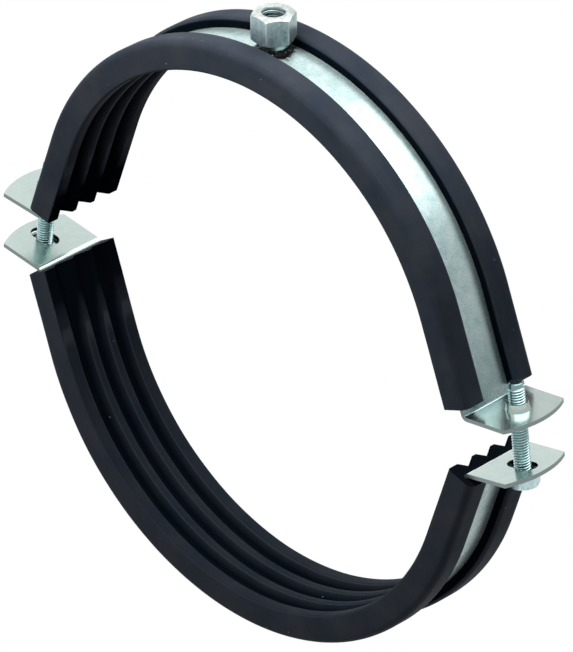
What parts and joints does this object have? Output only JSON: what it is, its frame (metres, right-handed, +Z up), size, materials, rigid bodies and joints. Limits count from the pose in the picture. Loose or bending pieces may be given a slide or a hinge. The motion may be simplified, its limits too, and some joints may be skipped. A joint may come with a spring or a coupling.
{
  "type": "duct clamp",
  "caption": "Round split duct clamp: steel band halves with a ribbed rubber lining, screwed together through fold-out lugs, hung from a threaded hexagonal boss.",
  "frame": {"origin": "the duct's axis as the upper half's ribs hold it, midway across the strip", "axes": "+Y along the duct, +Z up through the threaded boss, +X out through one pair of lugs"},
  "size_m": [0.2518, 0.0348, 0.2369],
  "materials": {
    "zinc_sheet": "zinc-plated sheet, lightly mottled",
    "lining_rubber": "matt extruded rubber",
    "zinc_boss": "zinc-plated, satin",
    "weld_metal": "burnt weld",
    "zinc_fastener": "bright zinc-plated thread"
  },
  "bodies": {
    "upper_half": {"upper_strip": "zinc_sheet", "upper_lining": "lining_rubber", "boss": "zinc_boss", "boss_weld": "weld_metal"},
    "lower_half": {"lower_strip": "zinc_sheet", "lower_lining": "lining_rubber"},
    "left_washer": {"left_washer": "zinc_fastener"},
    "right_washer": {"right_washer": "zinc_fastener"},
    "left_screw": {"left_screw": "zinc_fastener"},
    "right_screw": {"right_screw": "zinc_fastener"}
  },
  "joints": [
    {"name": "clamp_close", "type": "slide", "parent": "upper_half", "child": "lower_half", "axis": [0, 0, 1], "range_m": [-0.008, 0.016]},
    {"name": "left_washer_travel", "type": "slide", "parent": "upper_half", "child": "left_washer", "axis": [0.1132, 0, 0.9936], "range_m": [-0.008, 0.016]},
    {"name": "right_washer_travel", "type": "slide", "parent": "upper_half", "child": "right_washer", "axis": [-0.1132, 0, 0.9936], "range_m": [-0.008, 0.016]},
    {"name": "left_screw_turn", "type": "hinge", "parent": "left_washer", "child": "left_screw", "pos_m": [-0.11404, 0, -0.00027], "axis": [0.1132, 0, 0.9936], "range_deg": [-2900, 5760]},
    {"name": "right_screw_turn", "type": "hinge", "parent": "right_washer", "child": "right_screw", "pos_m": [0.11404, 0, -0.00027], "axis": [-0.1132, 0, 0.9936], "range_deg": [-2900, 5760]}
  ],
  "couplings": [
    {"joint": "left_washer_travel", "follows": "clamp_close", "ratio": 0.98744},
    {"joint": "right_washer_travel", "follows": "clamp_close", "ratio": 0.98744},
    {"joint": "left_screw_turn", "follows": "clamp_close", "rad_per_m": 6204.3},
    {"joint": "right_screw_turn", "follows": "clamp_close", "rad_per_m": 6204.3}
  ]
}
